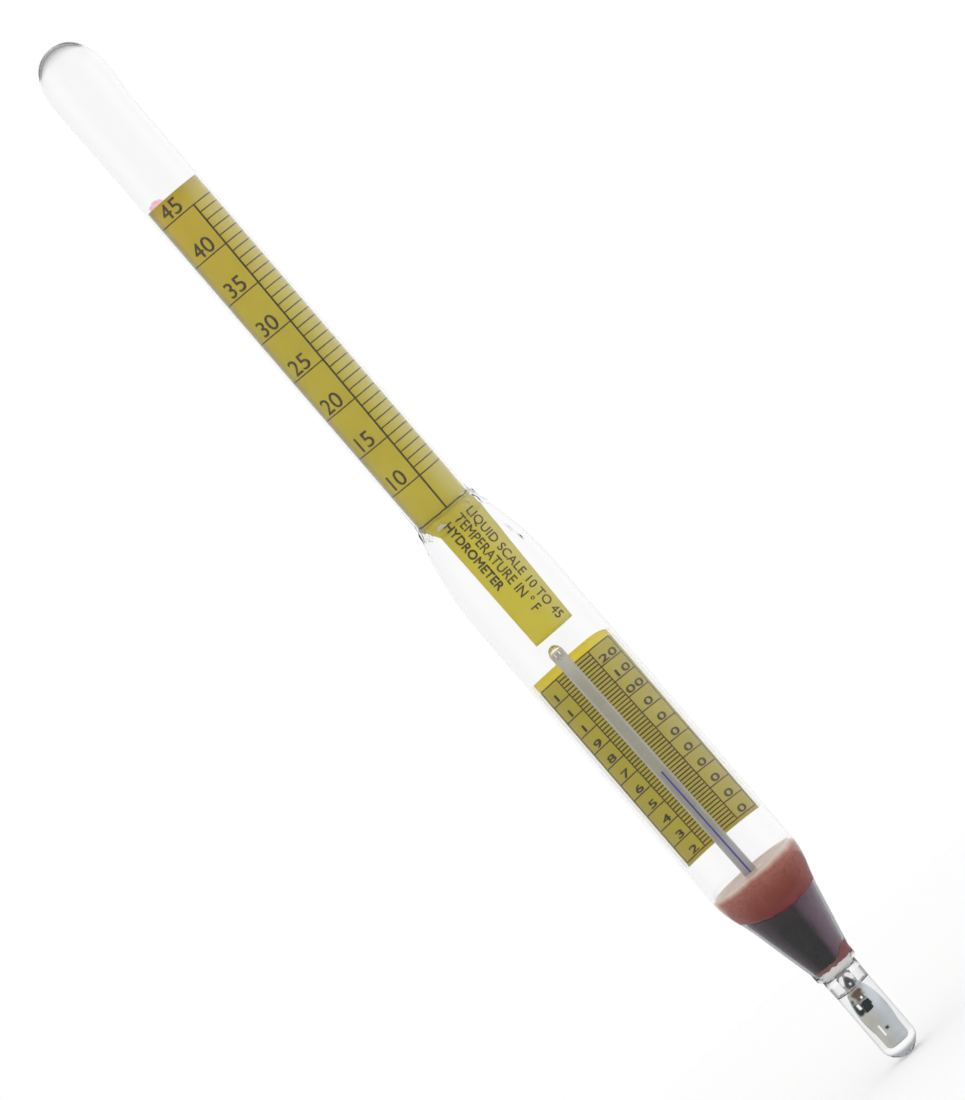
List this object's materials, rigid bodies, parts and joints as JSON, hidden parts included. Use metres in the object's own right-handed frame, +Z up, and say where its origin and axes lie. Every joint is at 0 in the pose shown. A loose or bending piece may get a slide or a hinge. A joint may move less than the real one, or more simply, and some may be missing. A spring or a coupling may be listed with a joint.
{
  "type": "hydrometer",
  "caption": "Sealed glass float with a degree scale rolled inside its stem, and a thermometer with a card scale of its own built into the weighted lower end.",
  "frame": {"origin": "lowest point of the thermometer bulb, on the axis of the glass", "axes": "+Z up the stem, the way the instrument floats; -Y towards the reader, so the printed scales face -Y; +X to the reader's right"},
  "size_m": [0.024, 0.024, 0.305],
  "materials": {
    "stem_glass": "clear polished glass",
    "body_glass": "clear polished glass",
    "bulb_glass": "clear thick glass",
    "capillary_glass": "clear glass",
    "enamel": "white enamel glass",
    "bulb_liquid": "silvery grey thermometer liquid",
    "thread_liquid": "blue thermometer liquid",
    "scale_paper": "yellow printed paper",
    "scale_card": "yellow printed card",
    "sealing_wax": "red-brown wax",
    "ballast": "fine dark shot",
    "lower_wax": "dark red wax",
    "packing": "pale fibre",
    "adhesive": "pink adhesive",
    "cement": "pale cement"
  },
  "bodies": {
    "float": {"stem_tube": "stem_glass", "body_tube": "body_glass", "thermometer_bulb": "bulb_glass", "thermometer_tube": "capillary_glass", "enamel_strip": "enamel", "bulb_fill": "bulb_liquid", "stem_scale": "scale_paper", "thermometer_scale": "scale_card", "sealing_wax": "sealing_wax", "ballast_shot": "ballast", "lower_wax": "lower_wax", "neck_packing": "packing", "scale_adhesive": "adhesive", "tongue_cement": "cement"},
    "liquid": {"liquid_column": "thread_liquid"}
  },
  "joints": [
    {"name": "liquid_rise", "type": "slide", "parent": "float", "child": "liquid", "axis": [-0.0166, 0, 0.9999], "range_m": [-0.0203, 0.0269]}
  ]
}
